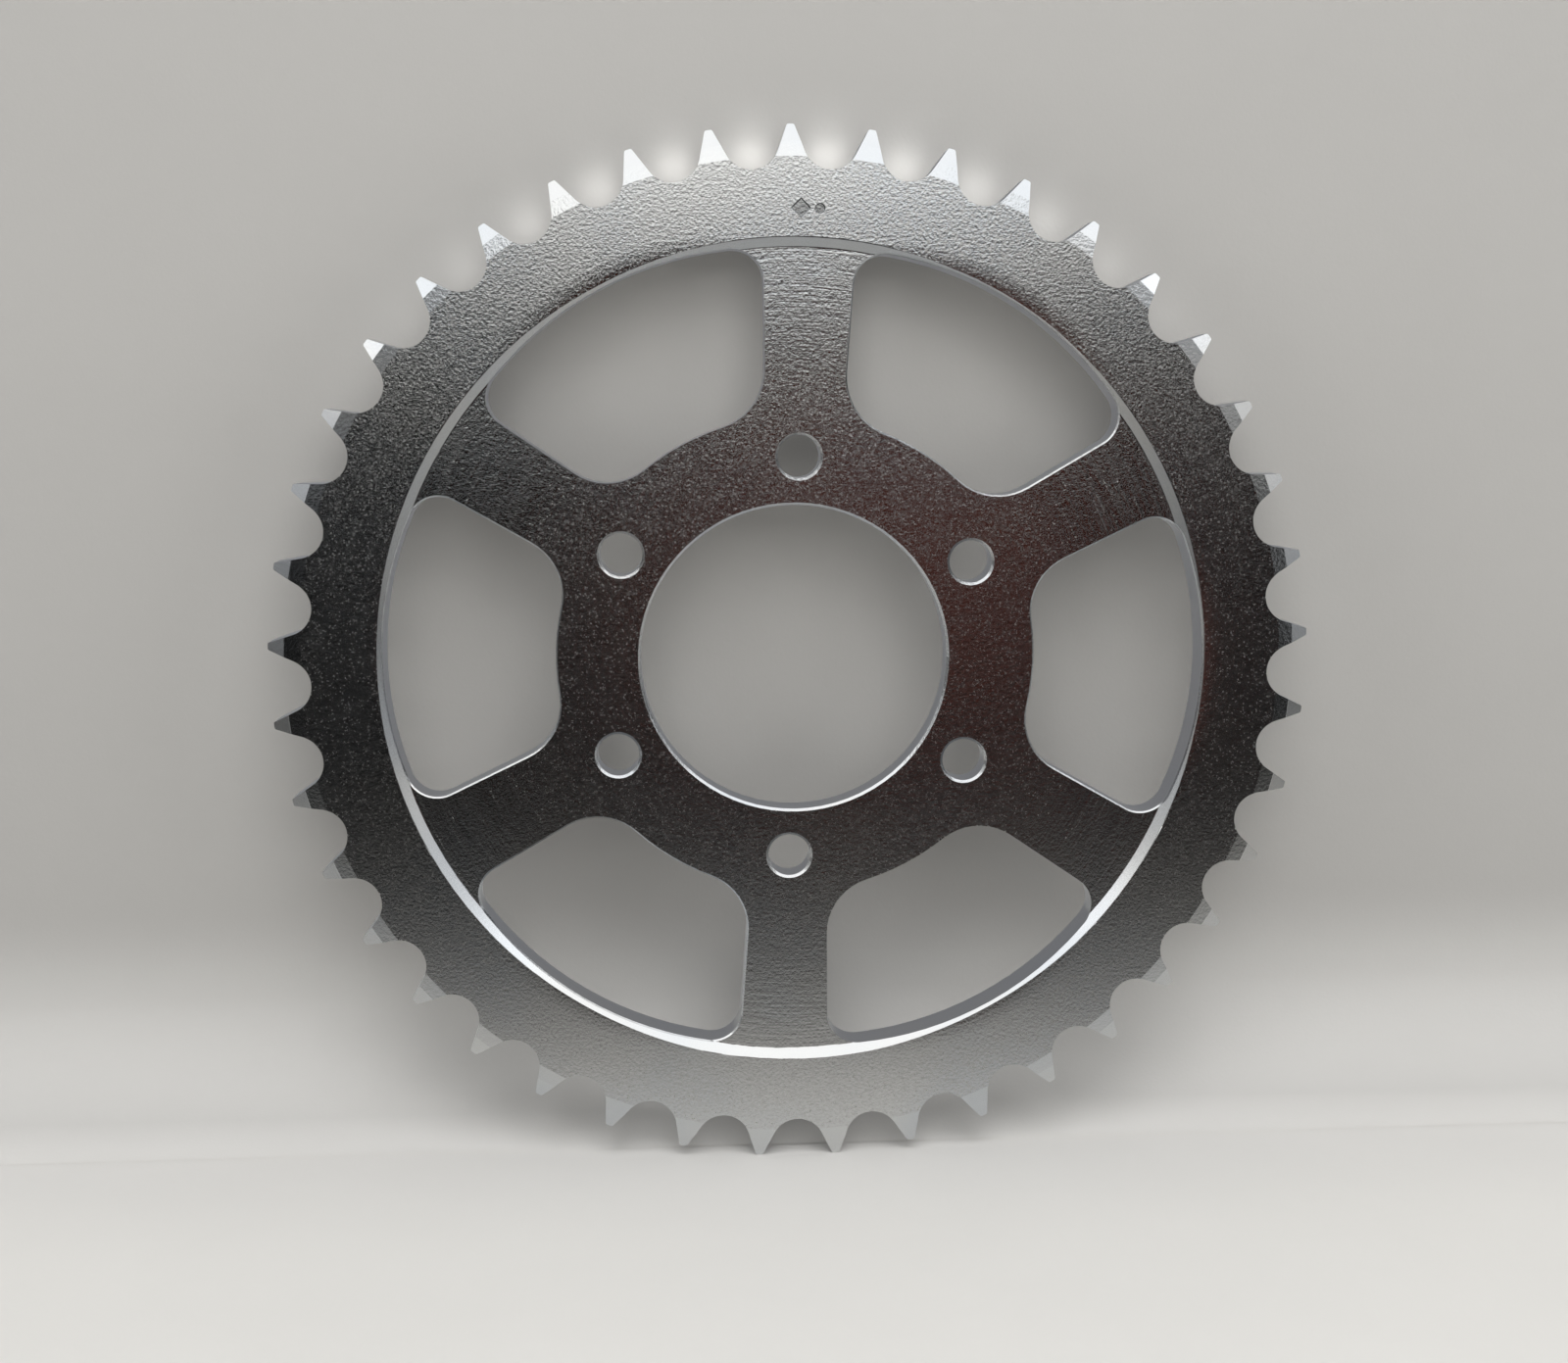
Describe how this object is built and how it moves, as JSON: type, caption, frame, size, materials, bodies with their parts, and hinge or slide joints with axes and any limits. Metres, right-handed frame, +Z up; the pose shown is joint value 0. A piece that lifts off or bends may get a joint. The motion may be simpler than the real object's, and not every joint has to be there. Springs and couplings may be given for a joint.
{
  "type": "rear sprocket",
  "caption": "Spoked rear chain sprocket of plated steel plate, with a central bore, a ring of bolt holes and a raised tooth ring.",
  "frame": {"origin": "centre of the bore at the middle of the tooth thickness, on the chain line", "axes": "+Y along the wheel axle, from the recessed front face to the flat back face; +Z up, through one tooth; +X to the right as seen from the front"},
  "size_m": [0.1714, 0.007, 0.1712],
  "materials": {
    "zinc_steel": "satin"
  },
  "bodies": {
    "root": {"sprocket": "zinc_steel"}
  },
  "joints": []
}
